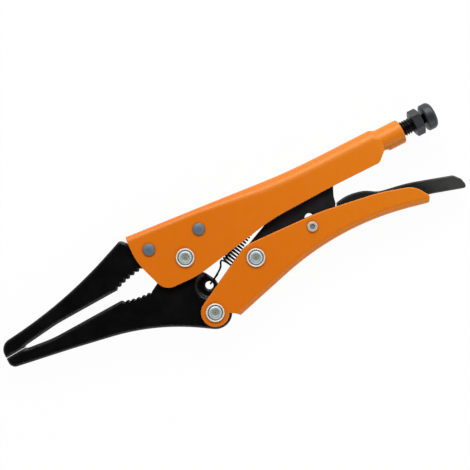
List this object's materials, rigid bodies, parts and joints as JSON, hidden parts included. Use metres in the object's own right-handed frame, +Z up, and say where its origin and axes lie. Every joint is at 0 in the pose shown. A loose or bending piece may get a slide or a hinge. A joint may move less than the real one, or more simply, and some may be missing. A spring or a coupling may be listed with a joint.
{
  "type": "locking pliers",
  "caption": "Long straight nose locking pliers with folded sheet handles, forged toothed jaws, toggle link, release lever, return spring and adjusting screw.",
  "frame": {"origin": "on the main pivot axis, at the plane that the tool rests on when it lies on its side", "axes": "+X along the adjusting screw to the tail, +Y towards the upper handle, +Z up, along the pivot axes"},
  "size_m": [0.297, 0.0749, 0.0182],
  "materials": {
    "orange_paint": "smooth orange epoxy paint on folded steel sheet",
    "black_steel": "glossy black finish on forged steel",
    "grey_lever": "dark grey phosphated sheet steel",
    "zinc": "bright zinc on turned steel",
    "blued_rivet": "flat peened rivet, dull blue grey",
    "dark_screw": "dark grey oxide on turned steel",
    "black_oxide": "black oxide on spring wire and rolled thread"
  },
  "bodies": {
    "upper_frame": {"upper_handle": "orange_paint", "fixed_jaw": "black_steel", "front_jaw_rivet": "blued_rivet", "rear_jaw_rivet": "blued_rivet", "main_pivot_rivet": "zinc", "main_pivot_washer_front": "zinc", "main_pivot_washer_back": "zinc", "return_spring": "black_oxide"},
    "jaw": {"moving_jaw": "black_steel"},
    "grip": {"lower_handle": "orange_paint", "handle_pivot_rivet": "zinc", "handle_pivot_washer_front": "zinc", "handle_pivot_washer_back": "zinc", "link_pivot_rivet": "zinc", "link_pivot_washer_front": "zinc", "link_pivot_washer_back": "zinc", "lever_rivet": "zinc"},
    "link": {"toggle_link": "black_steel"},
    "lever": {"release_lever": "grey_lever"},
    "screw": {"adjusting_screw": "black_oxide"},
    "knob": {"screw_knob": "dark_screw"},
    "nut": {"lock_nut": "dark_screw"}
  },
  "joints": [
    {"name": "jaw_swing", "type": "hinge", "parent": "upper_frame", "child": "jaw", "pos_m": [0, 0, 0.0091], "axis": [0, 0, 1], "range_deg": [0, 16], "deforming": ["return_spring"]},
    {"name": "handle_swing", "type": "hinge", "parent": "jaw", "child": "grip", "pos_m": [0.0011, -0.0375, 0.0091], "axis": [0, 0, 1], "range_deg": [-55, 0]},
    {"name": "link_swing", "type": "hinge", "parent": "grip", "child": "link", "pos_m": [0.0377, -0.0192, 0.0091], "axis": [0, 0, 1], "range_deg": [0, 64]},
    {"name": "lever_release", "type": "hinge", "parent": "grip", "child": "lever", "pos_m": [0.0762, -0.018, 0.0091], "axis": [0, 0, 1], "range_deg": [0, 4]},
    {"name": "screw_feed", "type": "slide", "parent": "upper_frame", "child": "screw", "axis": [1, 0, 0], "range_m": [0, 0.012]},
    {"name": "knob_turn", "type": "hinge", "parent": "screw", "child": "knob", "pos_m": [0.17, 0.0095, 0.0091], "axis": [1, 0, 0], "range_deg": [0, 2725]},
    {"name": "nut_run", "type": "slide", "parent": "screw", "child": "nut", "axis": [1, 0, 0], "range_m": [-0.0068, 0]}
  ],
  "couplings": [
    {"joint": "handle_swing", "follows": "jaw_swing", "ratio": -3.4},
    {"joint": "link_swing", "follows": "jaw_swing", "ratio": 3.93},
    {"joint": "knob_turn", "follows": "screw_feed", "rad_per_m": 3957.9}
  ]
}
